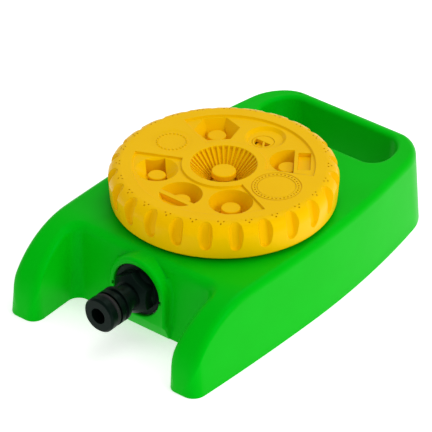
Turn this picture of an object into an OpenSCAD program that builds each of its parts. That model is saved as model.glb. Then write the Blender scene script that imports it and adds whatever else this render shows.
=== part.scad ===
// Turret lawn sprinkler: a moulded base with a hand-hold and a click-on hose nose, and a turning
// dial with eight spray patterns. The water passes from the nose through a manifold under the deck
// to a sprung seal, which feeds the port of the chosen pattern in the dial.
// Millimetres. +Z up, +Y towards the hand-hold, -Y towards the hose. The origin lies on the ground
// in the middle of the overall length and width.

/* [Base] */
// Overall length, from the leg tips to the back of the hand-hold
base_l = 188; // [150:1:230]
// Widest width, at the ground
base_w = 115; // [92:1:140]
// Height of the flat deck above the ground
base_h = 38.4; // [31:0.2:48]
// Wall thickness of the moulded shell
wall = 2.4; // [1.8:0.1:3.2]
// How far the side and back walls lean in between the ground and the deck
wall_lean = 2; // [0:0.5:4]
// Rounding of the edge round the deck
edge_r = 3.5; // [1:0.5:5]
// Rounding of the two back corners, seen from above
corner_r = 18; // [8:1:26]
// Length of each front leg, from the front wall to its tip
leg_l = 29; // [22:1:38]
// Width of each front leg
leg_w = 18.5; // [14:0.5:24]
// Distance from the front wall to the axis of the dial
turret_setback = 59; // [50:1:75]

/* [Hand-hold] */
// Length of material beside each end of the slot, at the widest width
slot_side = 21; // [18:1:26]
// Width of the slot
slot_w = 25; // [20:1:32]
// Distance from the back edge of the base to the middle of the slot
slot_back = 21.5; // [18:0.5:26]

/* [Hose nose] */
// Radius of the lands that a click-on hose socket seals and slides on
nose_r = 8.4; // [7:0.1:10]
// Radius of the water way through the nose
nose_bore_r = 3.9; // [3:0.1:4.5]
// Length of the lands, from the tip to the latch neck
land_l = 14; // [12:0.5:17]
// Length of the latch neck
neck_l = 6; // [5:0.5:8]
// Length of the hexagon
hex_l = 7; // [5:0.5:8]
// Width of the hexagon across its corners
hex_w = 21; // [18:0.5:24]
// Radius of the collar in front of the thread
collar_r = 12.5; // [11:0.1:15]
// Radius of the thread into the manifold
thread_r = 9.5; // [8:0.1:10.5]
// Distance from the deck down to the axis of the nose
inlet_drop = 16.9; // [16:0.1:17.5]

/* [Dial] */
// Largest diameter of the dial
dial_d = 105; // [87:1:126]
// Height of the dial, from its lower edge to its top
dial_h = 17.7; // [15:0.1:21]
// Gap between the deck and the lower edge of the dial
dial_gap = 1.5; // [1:0.1:2.5]
// Width of the raised rim round the pattern fields
rim_w = 10.8; // [9:0.1:13]
// Radius of the raised boss in the middle
boss_r = 19.1; // [16:0.1:22]
// Thickness of the skin of the dial
skin = 2.2; // [1.8:0.1:2.8]
// Depth of the pattern fields below the rim
field_depth = 1; // [0.6:0.1:1.6]
// Depth of each pattern pocket below its field
pocket_depth = 7.8; // [6:0.1:8]
// Number of grooves round the dial, for the fingers
grip_count = 24; // [16:8:32]
// Width of each finger groove
grip_w = 4.6; // [3.5:0.1:5.5]
// Depth of each finger groove
grip_depth = 1.6; // [1:0.1:2]
// Radius of the round button in the middle
button_r = 5.8; // [4.8:0.1:6.8]

/* [Fits] */
// Radius of the shoulder that the dial turns on
pivot_r = 3; // [2.5:0.05:3.6]
// Radial running clearance of the shoulder in its bush
run_clear = 0.04; // [0.02:0.01:0.09]
// Radial clearance of a sliding or loose fit
slide_clear = 0.15; // [0.1:0.05:0.25]
// Radius of the thread of each screw
screw_r = 1.5; // [1.25:0.05:1.8]
// Travel of the click plunger into a notch
click_travel = 0.8; // [0.5:0.1:1]
// Room below the sprung seal carrier for its spring at rest
seal_room = 5.6; // [4:0.1:6]

/* [Hidden] */
$fn = 96;
eps = 0.01;
cut = 1;
touch = 0.1;

// The eight pattern places, one each 45 degrees
place_count = 8;
place_step = 360 / place_count;
// Six places have a pocket, the other two carry discs
pocket_places = [1, 2, 3, 5, 6, 7];
disc_places = [0, 4];

// Outline of the base
front_y = -base_l / 2;
back_y = base_l / 2;
half_w = base_w / 2;
wall_y = front_y + leg_l;
turret_y = wall_y + turret_setback;
widest_y = turret_y - 9;
bow_r = 450;
leg_bow_r = 1300;
back_lean = wall_lean + 0.5;
leg_foot_r = 4;
leg_root = 11;
wall_slope = 3;

// Hand-hold
slot_y = back_y - slot_back;
slot_half = half_w - slot_side;

// Hose nose, measured along its own axis from the tip
inlet_z = base_h - inlet_drop;
collar_l = 2.5;
thread_l = 11.5;
hex_end = land_l + neck_l + hex_l;
collar_end = hex_end + collar_l;
thread_end = collar_end + thread_l;
neck_r = nose_r - 2.4;
ring_groove_at = 4;
ring_groove_l = 3.2;
ring_wire_r = 1.5;
ring_seat_r = nose_r - 2 * ring_wire_r + 0.15;
small_groove_at = 9.4;
small_groove_l = 1.8;
small_groove_depth = 1.1;
collar_recess = 1.2;
port_hood_t = 3.2;
port_hole_r = collar_r + 0.5;
nose_tip_y = front_y;
hood_y = nose_tip_y + hex_end - collar_recess;
collar_back_y = nose_tip_y + collar_end;
washer_t = 1.6;

// Heights of the turret
deck_under = base_h - wall;
dial_z = base_h + dial_gap;
dial_top = dial_z + dial_h;
plate_z = dial_z + 0.5;
plate_t = 3;
gasket_z = plate_z + plate_t;
gasket_t = 1;
nozzle_z = gasket_z + gasket_t;
nozzle_t = 2;
nozzle_top = nozzle_z + nozzle_t;
cup_floor_z = dial_top - field_depth - pocket_depth;
cup_floor_t = 1.4;
cup_under = cup_floor_z - cup_floor_t;
ceiling_z = dial_top - field_depth - skin;

// Radii of the dial
dial_r = dial_d / 2;
shoulder_r = 6.7;
foot_r = dial_r - 0.9;
foot_round = 1.6;
skirt_in = foot_r - skin - 0.4;
field_r = dial_r - rim_w;
pattern_r = (field_r + boss_r) / 2;
pocket_r = (field_r - boss_r) / 2 - 1.8;
floor_share = 0.66;
floor_r = pocket_r * floor_share;
spray_gap = 0.8;
post_share = 0.46;
post_drop = 2.8;
post_r = pocket_r * post_share;
nozzle_hole_r = post_r + spray_gap;
cone_r = boss_r - 3.6;
cone_floor_r = button_r + spray_gap;
plate_r = skirt_in - 0.3;
insert_r = field_r - 1.2;
rim_screw_r = (insert_r + skirt_in) / 2;
rim_post_r = (skirt_in - insert_r) / 2 - 0.3;
rim_screw_count = 4;
// Half the angle of the level part of the top round each disc
level_half = 25;
disc_r = pocket_r - 0.6;
disc_t = 1.6;
disc_foot = skin + field_depth - disc_t;
rim_screw_l = 10;
pivot_thread_l = 5.2;
button_seat_z = cup_floor_z + 1.5;

// Ports and clicks
port_r = 3.6;
notch_r = 2.2;
click_r = 1.7;
click_at = pattern_r - port_r - notch_r - 4.2;

// Manifold
hub_r = pivot_r + 5;
bush_r = pivot_r + 1.6;
bush_flange_t = 0.4;
hub_top = plate_z - bush_flange_t - touch;
hub_l = 13;
hub_under = hub_top - hub_l;
washer_r = pivot_r + 3.4;
pivot_washer_t = 0.8;
head_r = pivot_r + 2.8;
head_t = 2.6;
head_top = hub_under - touch - pivot_washer_t;
seal_bore_r = port_r + 3.4;
riser_r = seal_bore_r + 1.8;
carrier_t = 2.6;
seal_t = 2.3;
seal_top = plate_z - touch;
carrier_z = seal_top - seal_t - carrier_t;
seal_ledge_z = carrier_z - seal_room;
tube_r = 10.2;
tube_bore_r = 7;
socket_r = port_hole_r - 0.6;
mount_plate_t = 2.5;
mount_plate_z = deck_under - 9.2;
mount_plate_top = mount_plate_z + mount_plate_t;
mount_half = 21;
pillar_r = screw_r + 2.2;
screw_l = 9;
screw_head_r = screw_r * 2;
screw_head_t = 1.8;
click_sleeve_r = click_r + slide_clear + 1.7;
click_ledge_z = deck_under - 12;
click_tip_z = plate_z - touch;
click_l = 8;
click_foot_r = click_r + 0.6;
click_foot_z = click_tip_z - click_l;
click_bore_r = click_foot_r + slide_clear;
deck_hole_clear = 0.3;
front_screw_y = -pattern_r - riser_r - screw_r;
back_screw_y = -hub_r + screw_r;

// Springs
spring_turns = 4;
spring_wire_r = 0.45;

// Half width of the outline of the base at the ground, at a place along its length
function side_x(y) = half_w - pow(y - widest_y, 2) / (2 * (y > widest_y ? bow_r : leg_bow_r));

// Points along the right side, from the front to the back
function side_points(steps) = [
    for (i = [0:steps])
        let (y = front_y + (back_y - front_y) * i / steps)
        [side_x(y), y]
];

// Outline of the base seen from above, drawn in by an inset
module plan(inset, back_inset) {
    right = side_points(24);
    left = [for (i = [len(right) - 1:-1:0]) [-right[i][0], right[i][1]]];
    offset(r = corner_r, $fn = 64)
        offset(delta = -corner_r)
            intersection() {
                offset(delta = -inset)
                    polygon(concat(right, left));
                translate([-base_w, front_y - base_l])
                    square([2 * base_w, 2 * base_l - back_inset]);
            }
    // The front end keeps its small foot rounding
    offset(r = leg_foot_r, $fn = 32)
        offset(delta = -leg_foot_r)
            intersection() {
                offset(delta = -inset)
                    polygon(concat(right, left));
                translate([-base_w, front_y])
                    square([2 * base_w, base_l / 2]);
            }
}

// A thin level slice of the plan, for the hulls below
module plan_slice(z, inset, back_inset) {
    translate([0, 0, z])
        linear_extrude(eps)
            plan(inset, back_inset);
}

// Solid outer form of the base, before the bay, legs and hollow are cut
module base_block(shrink) {
    top = base_h - shrink;
    round_r = max(edge_r - shrink, 0.5);
    hull() {
        plan_slice(0, shrink, shrink);
        for (a = [0:30:90])
            plan_slice(
                top - round_r + round_r * sin(a) - eps,
                shrink + wall_lean + round_r * (1 - cos(a)),
                shrink + back_lean + round_r * (1 - cos(a))
            );
    }
}

// Everything in front of and above the quarter-round leg tops, offset inwards for the hollow
module over_legs(shrink) {
    crest_y = wall_y + leg_root;
    rise = crest_y - front_y;
    translate([-base_w, 0, 0])
        rotate([90, 0, 90])
            linear_extrude(2 * base_w)
                difference() {
                    translate([front_y - cut, -base_h])
                        square([rise + cut, 3 * base_h]);
                    translate([crest_y, 0])
                        scale_ellipse(rise - shrink, base_h - shrink);
                }
}

// Ellipse drawn as a polygon from its two half axes
module scale_ellipse(a, b) {
    polygon([for (t = [0:3:357]) [a * cos(t), b * sin(t)]]);
}

// Space between the two front legs, grown for the hollow side of its walls
module bay(grow) {
    half = half_w - leg_w + grow;
    lean = wall_slope;
    hull() {
        translate([-half, front_y - cut - grow, -cut])
            cube([2 * half, wall_y - front_y + cut + 2 * grow, eps]);
        translate([-half - lean, front_y - cut - grow, base_h + cut])
            cube([2 * (half + lean), wall_y - front_y + cut + lean + 2 * grow, eps]);
    }
}

// Stadium prism standing through the base at the hand-hold
module slot_prism(grow, z, h) {
    r = slot_w / 2 + grow;
    reach = slot_half - slot_w / 2;
    translate([0, slot_y, z]) {
        translate([-reach, -r, 0])
            cube([2 * reach, 2 * r, h]);
        for (s = [-1, 1])
            translate([s * reach, 0, 0])
                cylinder(r = r, h = h);
    }
}

// Cylinder along +Y from a start place, about the nose axis
module along_y(r, y0, y1) {
    translate([0, y0, inlet_z])
        rotate([-90, 0, 0])
            cylinder(r = r, h = y1 - y0);
}

// Arched hood round the nose on the front wall, running back into the wall at its foot
module nose_hood() {
    r = port_hole_r + port_hood_t;
    back = wall_y + wall;
    along_y(r, hood_y, back + wall_slope);
    translate([-r, 0, 0])
        rotate([90, 0, 90])
            linear_extrude(2 * r)
                polygon([[wall_y, 0], [back, 0], [back, inlet_z], [hood_y, inlet_z], [hood_y, inlet_z - port_hole_r]]);
}

// The four screw places of the manifold, in turret coordinates
module at_manifold_screws() {
    for (x = [-mount_half, mount_half], y = [front_screw_y, back_screw_y])
        translate([x, turret_y + y, 0])
            children();
}

module base_shell() {
    color("limegreen")
        difference() {
            union() {
                difference() {
                    base_block(0);
                    over_legs(0);
                    bay(0);
                    difference() {
                        translate([0, 0, -eps])
                            base_block(wall);
                        over_legs(wall);
                        bay(wall);
                        slot_prism(wall, -cut, base_h + 2 * cut);
                    }
                }
                nose_hood();
                at_manifold_screws()
                    translate([0, 0, mount_plate_top])
                        cylinder(r = pillar_r, h = base_h - wall / 2 - mount_plate_top);
            }
            slot_prism(0, -cut, base_h + 2 * cut);
            along_y(port_hole_r, hood_y - cut, wall_y + wall + wall_slope + cut);
            at_manifold_screws()
                translate([0, 0, mount_plate_top - cut])
                    cylinder(r = screw_r, h = screw_l - mount_plate_t + cut);
            translate([0, turret_y, deck_under - cut]) {
                cylinder(r = hub_r + deck_hole_clear, h = wall + 2 * cut);
                translate([0, -pattern_r, 0])
                    cylinder(r = riser_r + deck_hole_clear, h = wall + 2 * cut);
                translate([0, click_at, 0])
                    cylinder(r = click_sleeve_r + deck_hole_clear, h = wall + 2 * cut);
            }
        }
}

module manifold() {
    color("dimgray")
        difference() {
            union() {
                // Hose socket and the tube behind it
                along_y(socket_r, collar_back_y + touch, collar_back_y + thread_l + 4);
                along_y(tube_r, collar_back_y + thread_l, turret_y - pattern_r + riser_r);
                // Fixing plate with its arm to the click plunger
                translate([-mount_half - pillar_r, turret_y + front_screw_y - pillar_r, mount_plate_z])
                    cube([2 * (mount_half + pillar_r), back_screw_y - front_screw_y + 2 * pillar_r, mount_plate_t]);
                translate([-hub_r, turret_y + back_screw_y, mount_plate_z])
                    cube([2 * hub_r, click_at - back_screw_y, mount_plate_t]);
                // Riser, hub and click sleeve
                translate([0, turret_y - pattern_r, inlet_z])
                    cylinder(r = riser_r, h = base_h - inlet_z);
                translate([0, turret_y, hub_under])
                    cylinder(r = hub_r, h = hub_top - hub_under);
                translate([0, turret_y + click_at, click_ledge_z - 2])
                    cylinder(r = click_sleeve_r, h = base_h - click_ledge_z + 2);
            }
            along_y(thread_r + touch, collar_back_y - cut, collar_back_y + thread_l + washer_t);
            along_y(tube_bore_r, collar_back_y, turret_y - pattern_r + tube_bore_r);
            translate([0, turret_y - pattern_r, inlet_z])
                cylinder(r = tube_bore_r - 2, h = base_h - inlet_z + cut);
            translate([0, turret_y - pattern_r, seal_ledge_z])
                cylinder(r = seal_bore_r, h = base_h - seal_ledge_z + cut);
            translate([0, turret_y, hub_under - cut])
                cylinder(r = bush_r, h = hub_l + 2 * cut);
            translate([0, turret_y + click_at, click_ledge_z])
                cylinder(r = click_bore_r, h = base_h - click_ledge_z + cut);
            at_manifold_screws()
                translate([0, 0, mount_plate_z - cut])
                    cylinder(r = screw_r + slide_clear, h = mount_plate_t + 2 * cut);
        }
}

// Turns a profile drawn in radius and distance from the tip about the nose axis
module about_nose() {
    translate([0, nose_tip_y, inlet_z])
        rotate([-90, 0, 0])
            rotate_extrude()
                children();
}

module hose_nose() {
    chamfer = 0.9;
    color("#1c1f1f") {
        difference() {
            union() {
                about_nose()
                    polygon([
                        [0, 0], [nose_r - chamfer, 0], [nose_r, chamfer],
                        [nose_r, ring_groove_at], [ring_seat_r, ring_groove_at],
                        [ring_seat_r, ring_groove_at + ring_groove_l], [nose_r, ring_groove_at + ring_groove_l],
                        [nose_r, small_groove_at], [nose_r - small_groove_depth, small_groove_at + 0.4],
                        [nose_r - small_groove_depth, small_groove_at + small_groove_l],
                        [nose_r, small_groove_at + small_groove_l + 0.4],
                        [nose_r, land_l - chamfer], [neck_r, land_l + chamfer],
                        [neck_r, land_l + neck_l], [collar_r - 2.5, hex_end],
                        [collar_r, hex_end], [collar_r, collar_end], [thread_r, collar_end],
                        [thread_r, thread_end], [0, thread_end],
                    ]);
                intersection() {
                    translate([0, nose_tip_y + land_l + neck_l, inlet_z])
                        rotate([-90, 30, 0])
                            cylinder(r = hex_w / 2, h = hex_l, $fn = 6);
                    about_nose()
                        polygon([
                            [0, land_l + neck_l], [neck_r + 1.2, land_l + neck_l],
                            [hex_w / 2, land_l + neck_l + 2.6], [hex_w / 2, hex_end + eps], [0, hex_end + eps],
                        ]);
                }
            }
            about_nose()
                polygon([
                    [0, -cut], [nose_bore_r, -cut], [nose_bore_r, land_l + neck_l],
                    [tube_bore_r - 0.5, hex_end], [tube_bore_r - 0.5, thread_end + cut], [0, thread_end + cut],
                ]);
        }
    }
}

module nose_o_ring() {
    color("black")
        translate([0, nose_tip_y + ring_groove_at + ring_groove_l / 2, inlet_z])
            rotate([-90, 0, 0])
                rotate_extrude()
                    translate([ring_seat_r + ring_wire_r - 0.15, 0])
                        circle(r = ring_wire_r - 0.15, $fn = 32);
}

module inlet_washer() {
    color("#303030")
        difference() {
            along_y(thread_r - touch, nose_tip_y + thread_end, nose_tip_y + thread_end + washer_t);
            along_y(tube_bore_r, nose_tip_y + thread_end - cut, nose_tip_y + thread_end + washer_t + cut);
        }
}

module manifold_screws() {
    color("silver")
        at_manifold_screws() {
            translate([0, 0, mount_plate_z])
                cylinder(r = screw_r, h = screw_l - cut);
            difference() {
                translate([0, 0, mount_plate_z - screw_head_t])
                    cylinder(r = screw_head_r, h = screw_head_t);
                cross_slot(mount_plate_z - screw_head_t, screw_head_r);
            }
        }
}

// Cross recess cut into a screw head from below
module cross_slot(z, head) {
    for (a = [0, 90])
        rotate([0, 0, a])
            translate([-head * 0.6, -head * 0.12, z - cut])
                cube([head * 1.2, head * 0.24, cut + 0.9]);
}

module pivot_bush() {
    color("goldenrod")
        translate([0, turret_y, 0])
            difference() {
                union() {
                    translate([0, 0, hub_under])
                        cylinder(r = bush_r, h = hub_top - hub_under);
                    translate([0, 0, hub_top])
                        cylinder(r = hub_r - 1, h = bush_flange_t);
                }
                translate([0, 0, hub_under - cut])
                    cylinder(r = pivot_r + run_clear, h = hub_l + 2 * cut + bush_flange_t);
            }
}

module seal_carrier() {
    color("white")
        translate([0, turret_y - pattern_r, carrier_z])
            difference() {
                cylinder(r = seal_bore_r - slide_clear, h = carrier_t);
                translate([0, 0, -cut])
                    cylinder(r = port_r, h = carrier_t + 2 * cut);
            }
}

module valve_seal() {
    color("#202020")
        translate([0, turret_y - pattern_r, carrier_z + carrier_t])
            difference() {
                cylinder(r = seal_bore_r - 0.6, h = seal_t);
                translate([0, 0, -cut])
                    cylinder(r = port_r, h = seal_t + 2 * cut);
                translate([0, 0, seal_t - 0.6])
                    difference() {
                        cylinder(r = seal_bore_r, h = 1);
                        cylinder(r = seal_bore_r - 1.8, h = 1);
                    }
            }
}

// Helical spring standing on the ground plane, flat-wound from a twisted extrusion
module coil(r, h) {
    linear_extrude(h, twist = -360 * spring_turns, slices = spring_turns * 18, convexity = 8, $fn = 8)
        polygon([
            for (a = [-12, 0, 12]) (r + spring_wire_r) * [cos(a), sin(a)],
            for (a = [12, 0, -12]) (r - spring_wire_r) * [cos(a), sin(a)],
        ]);
}

module seal_spring() {
    color("lightsteelblue")
        translate([0, turret_y - pattern_r, seal_ledge_z])
            coil(seal_bore_r - 1, carrier_z - seal_ledge_z);
}

module click_plunger() {
    color("ivory")
        translate([0, turret_y + click_at, 0]) {
            translate([0, 0, click_foot_z])
                cylinder(r = click_foot_r, h = 2);
            translate([0, 0, click_foot_z])
                cylinder(r = click_r, h = click_l - click_r * 0.6);
            translate([0, 0, click_tip_z - click_r])
                intersection() {
                    sphere(r = click_r, $fn = 48);
                    translate([-click_r, -click_r, 0])
                        cube([2 * click_r, 2 * click_r, click_r]);
                }
        }
}

module click_spring() {
    color("lightsteelblue")
        translate([0, turret_y + click_at, click_ledge_z])
            coil(click_r, click_foot_z - click_ledge_z);
}

module at_place(k) {
    rotate([0, 0, k * place_step])
        translate([pattern_r, 0, 0])
            children();
}

module at_rim_screws() {
    for (k = [0:rim_screw_count - 1])
        rotate([0, 0, (k + 0.5) * 360 / rim_screw_count + place_step / 4])
            translate([rim_screw_r, 0, 0])
                children();
}

// Quarter arc as points, from one angle to another
function arc(cx, cz, r, a0, a1) = [for (i = [0:6]) let (a = a0 + (a1 - a0) * i / 6) [cx + r * cos(a), cz + r * sin(a)]];

// Half section of the dial cover: rounded tyre-like outside, hollow inside
module dial_profile() {
    polygon(concat(
        [[0, ceiling_z], [skirt_in, ceiling_z], [skirt_in, dial_z]],
        arc(foot_r - foot_round, dial_z + foot_round, foot_round, -90, 0),
        [[dial_r, dial_top - shoulder_r - 1]],
        arc(dial_r - shoulder_r, dial_top - shoulder_r, shoulder_r, 0, 90),
        [[0, dial_top]]
    ));
}

// One finger groove, standing at the rim
module grip_groove() {
    deep = dial_r - grip_depth + grip_w / 2;
    translate([deep, 0, dial_z + 3])
        cylinder(r = grip_w / 2, h = dial_h - 7);
}

// Pattern field: a sector ring round the three pockets of one side. Its two straight ends leave the
// places of the discs level with the rim and the boss.
module pattern_field(turn) {
    rotate([0, 0, turn])
        translate([0, 0, dial_top - field_depth])
            difference() {
                intersection() {
                    cylinder(r = field_r, h = field_depth + cut);
                    linear_extrude(field_depth + cut)
                        polygon([
                            [0, 0],
                            [dial_d, dial_d * tan(level_half)],
                            [0, 2 * dial_d],
                            [-dial_d, dial_d * tan(level_half)]
                        ]);
                }
                translate([0, 0, -cut])
                    cylinder(r = boss_r, h = field_depth + 3 * cut);
            }
}

module dial_cover() {
    field_z = dial_top - field_depth;
    color("gold")
        translate([0, turret_y, 0])
            difference() {
                union() {
                    rotate_extrude($fn = 180)
                        dial_profile();
                    translate([0, 0, cup_under])
                        cylinder(r = cone_r, h = ceiling_z - cup_under + eps);
                    for (k = pocket_places)
                        at_place(k)
                            translate([0, 0, cup_under])
                                cylinder(r = pocket_r + 1, h = ceiling_z - cup_under + eps);
                    at_rim_screws()
                        translate([0, 0, gasket_z])
                            cylinder(r = rim_post_r, h = ceiling_z - gasket_z + eps);
                }
                pattern_field(0);
                pattern_field(180);
                for (k = pocket_places)
                    at_place(k) {
                        translate([0, 0, cup_floor_z])
                            cylinder(r1 = floor_r, r2 = pocket_r, h = pocket_depth + eps);
                        translate([0, 0, field_z])
                            cylinder(r = pocket_r, h = cut + field_depth);
                        translate([0, 0, cup_under - cut])
                            cylinder(r = nozzle_hole_r, h = cup_floor_t + 2 * cut);
                    }
                // Fluted centre cone
                translate([0, 0, cup_floor_z])
                    cylinder(r1 = cone_floor_r, r2 = cone_r, h = dial_top - cup_floor_z + eps);
                translate([0, 0, cup_under - cut])
                    cylinder(r = button_r + spray_gap / 2, h = cup_floor_t + 2 * cut);
                // Seats of the shower and rain discs
                for (k = disc_places)
                    at_place(k)
                        translate([0, 0, dial_top - disc_t])
                            cylinder(r = disc_r, h = disc_t + cut);
                for (k = disc_places)
                    at_place(k)
                        translate([0, 0, ceiling_z - cut])
                            cylinder(r = disc_r - 1.5, h = skin + field_depth + 2 * cut);
                for (i = [0:grip_count - 1])
                    rotate([0, 0, i * 360 / grip_count])
                        grip_groove();
                at_rim_screws()
                    translate([0, 0, gasket_z - cut])
                        cylinder(r = screw_r, h = rim_screw_l - plate_t + cut);
            }
}

module nozzle_plate() {
    wall_t = 1.2;
    color("orange")
        translate([0, turret_y, 0])
            difference() {
                union() {
                    translate([0, 0, nozzle_z])
                        cylinder(r = insert_r, h = nozzle_t);
                    for (k = pocket_places)
                        at_place(k)
                            translate([0, 0, nozzle_top])
                                cylinder(r = post_r, h = dial_top - field_depth - post_drop - nozzle_top);
                    // Walls that part the chambers from each other
                    for (k = [0:place_count - 1])
                        at_place(k)
                            translate([0, 0, nozzle_z + nozzle_t / 2])
                                difference() {
                                    cylinder(r = floor_r + wall_t, h = cup_under - nozzle_z - nozzle_t / 2);
                                    translate([0, 0, nozzle_t / 2])
                                        cylinder(r = floor_r, h = cup_under);
                                }
                    translate([0, 0, nozzle_top])
                        cylinder(r = button_r - 0.8, h = button_seat_z - nozzle_top);
                }
                for (k = [0:place_count - 1])
                    at_place(k)
                        for (a = [45:90:315])
                            rotate([0, 0, a])
                                translate([(post_r + floor_r) / 2, 0, nozzle_z - cut])
                                    cylinder(r = (floor_r - post_r) / 2 - 0.1, h = nozzle_t + 2 * cut);
                translate([0, 0, nozzle_z - cut])
                    cylinder(r = pivot_r - 1, h = pivot_thread_l + cut);
            }
}

module port_plate() {
    color("orange")
        translate([0, turret_y, plate_z])
            difference() {
                cylinder(r = plate_r, h = plate_t);
                for (k = [0:place_count - 1])
                    rotate([0, 0, k * place_step]) {
                        translate([pattern_r, 0, -cut])
                            cylinder(r = port_r, h = plate_t + 2 * cut);
                        translate([click_at, 0, -cut])
                            cylinder(r = notch_r, h = click_travel + 0.3 + cut);
                    }
                translate([0, 0, -cut])
                    cylinder(r = pivot_r + slide_clear, h = plate_t + 2 * cut);
                at_rim_screws()
                    translate([0, 0, -cut])
                        cylinder(r = screw_r + slide_clear, h = plate_t + 2 * cut);
                at_rim_screws()
                    translate([0, 0, -cut])
                        cylinder(r = screw_head_r + slide_clear, h = screw_head_t + cut);
            }
}

module chamber_gasket() {
    color("#404040")
        translate([0, turret_y, gasket_z])
            difference() {
                cylinder(r = insert_r, h = gasket_t);
                for (k = [0:place_count - 1])
                    at_place(k)
                        translate([0, 0, -cut])
                            cylinder(r = floor_r, h = gasket_t + 2 * cut);
                translate([0, 0, -cut])
                    cylinder(r = pivot_r + slide_clear, h = gasket_t + 2 * cut);
            }
}

module dial_screws() {
    color("silver")
        translate([0, turret_y, plate_z])
            at_rim_screws() {
                translate([0, 0, screw_head_t])
                    cylinder(r = screw_r, h = rim_screw_l - screw_head_t);
                difference() {
                    cylinder(r = screw_head_r, h = screw_head_t);
                    cross_slot(0, screw_head_r);
                }
            }
}

module centre_button() {
    button_t = 2.6;
    button_top = dial_top - 3.6;
    color("gold")
        translate([0, turret_y, 0]) {
            translate([0, 0, button_top - button_t])
                cylinder(r = button_r, h = button_t);
            translate([0, 0, button_seat_z])
                cylinder(r = button_r - 1.4, h = button_top - button_t - button_seat_z + eps);
        }
}

// Half-round insert that spins the water in its pocket
module swirl_insert() {
    swirl_r = post_r + 0.4;
    color("orange")
        translate([0, turret_y, 0])
            at_place(2)
                translate([0, 0, dial_top - field_depth - post_drop])
                    difference() {
                        cylinder(r = swirl_r, h = 1.2);
                        translate([-swirl_r, -0.5, -cut])
                            cube([swirl_r, 1, 1.2 + 2 * cut]);
                    }
}

// Disc pressed into its seat, with a ring of fine holes
module pattern_disc(k, hole_ring) {
    color("gold")
        translate([0, turret_y, dial_top - disc_t])
            at_place(k)
                difference() {
                    union() {
                        cylinder(r = disc_r, h = disc_t);
                        translate([0, 0, -disc_foot])
                            cylinder(r = disc_r - 1.5, h = disc_foot);
                    }
                    for (i = [0:hole_ring - 1])
                        rotate([0, 0, i * 360 / hole_ring])
                            translate([disc_r - 2.6, 0, -disc_foot - cut])
                                cylinder(r = 0.35, h = disc_t + disc_foot + 2 * cut, $fn = 16);
                }
}

module shower_disc() {
    pattern_disc(0, 24);
}

module rain_disc() {
    pattern_disc(4, 18);
}

module pivot_screw() {
    color("silver")
        translate([0, turret_y, 0]) {
            difference() {
                translate([0, 0, head_top - head_t])
                    cylinder(r = head_r, h = head_t);
                cross_slot(head_top - head_t, head_r);
            }
            translate([0, 0, head_top])
                cylinder(r = pivot_r, h = nozzle_z - head_top);
            translate([0, 0, nozzle_z])
                cylinder(r = pivot_r - 1, h = pivot_thread_l - 0.4);
        }
}

module pivot_washer() {
    color("lightgray")
        translate([0, turret_y, head_top])
            difference() {
                cylinder(r = washer_r, h = pivot_washer_t);
                translate([0, 0, -cut])
                    cylinder(r = pivot_r + slide_clear, h = pivot_washer_t + 2 * cut);
            }
}

base_shell();
manifold();
hose_nose();
nose_o_ring();
inlet_washer();
manifold_screws();
pivot_bush();
seal_carrier();
valve_seal();
seal_spring();
click_plunger();
click_spring();
dial_cover();
nozzle_plate();
port_plate();
chamber_gasket();
dial_screws();
centre_button();
swirl_insert();
shower_disc();
rain_disc();
pivot_screw();
pivot_washer();
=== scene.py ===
# %% [markdown]
# # A turret lawn sprinkler
# The sprinkler is three mouldings that show: a green base with a hand-hold, a black hose nose and
# a yellow dial. The working model is already there as CAD nodes, which sit where they belong.
# This lesson rebuilds the mouldings that need soft edges, and gives every piece its finish. Sizes
# come from the boxes of the CAD nodes.

# %% Load the working model
import math

import bpy
import numpy as np
from mathutils import Matrix, Vector


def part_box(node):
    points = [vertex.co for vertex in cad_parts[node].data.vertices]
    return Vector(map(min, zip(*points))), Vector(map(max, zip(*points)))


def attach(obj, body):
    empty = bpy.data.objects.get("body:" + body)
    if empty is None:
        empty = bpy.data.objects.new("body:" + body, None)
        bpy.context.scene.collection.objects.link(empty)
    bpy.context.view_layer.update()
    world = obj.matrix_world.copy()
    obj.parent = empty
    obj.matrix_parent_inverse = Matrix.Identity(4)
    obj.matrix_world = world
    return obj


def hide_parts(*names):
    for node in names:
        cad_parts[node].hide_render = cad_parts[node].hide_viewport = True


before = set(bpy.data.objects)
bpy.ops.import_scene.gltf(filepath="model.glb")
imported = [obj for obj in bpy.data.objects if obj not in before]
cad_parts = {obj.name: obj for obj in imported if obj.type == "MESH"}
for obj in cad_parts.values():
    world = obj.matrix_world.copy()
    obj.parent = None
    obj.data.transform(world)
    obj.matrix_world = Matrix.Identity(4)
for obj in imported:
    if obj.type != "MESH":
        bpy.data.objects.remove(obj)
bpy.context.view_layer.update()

MM = 0.001
past = 1 * MM
clear = 10 * MM
same = 0.1 * MM
print("cutters reach", past / MM, "or", clear / MM, "mm past what they cut")

# %% [markdown]
# The CAD boxes give every place that the new pieces need. The dial's axis is the middle of its
# box, the deck is the top of the base, and the nose's axis is the middle of its own box.

# %% Places taken from the working model
base_low, base_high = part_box("base_shell")
dial_low, dial_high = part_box("dial_cover")
nose_low, nose_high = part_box("hose_nose")
button_low, button_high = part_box("centre_button")

deck_z = base_high.z
half_width = base_high.x
front_y = base_low.y
back_y = base_high.y
axis_y = (dial_low.y + dial_high.y) / 2
axis_z = (nose_low.z + nose_high.z) / 2
dial_r = (dial_high.y - dial_low.y) / 2
print("deck", deck_z, "dial axis", axis_y, "nose axis", axis_z, "dial radius", dial_r)


# %% [markdown]
# The modelling steps repeat, so a few helpers hold them. Each one does what a hand does with the
# mouse. The first ones clear the selection, select one object, and add a box or a cylinder. Every
# primitive has its place and size applied, so its object stays at the origin.

# %% Helpers that select and add
def clear_selection():
    bpy.ops.object.select_all(action="DESELECT")


def only(obj):
    clear_selection()
    obj.select_set(True)
    bpy.context.view_layer.objects.active = obj


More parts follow.
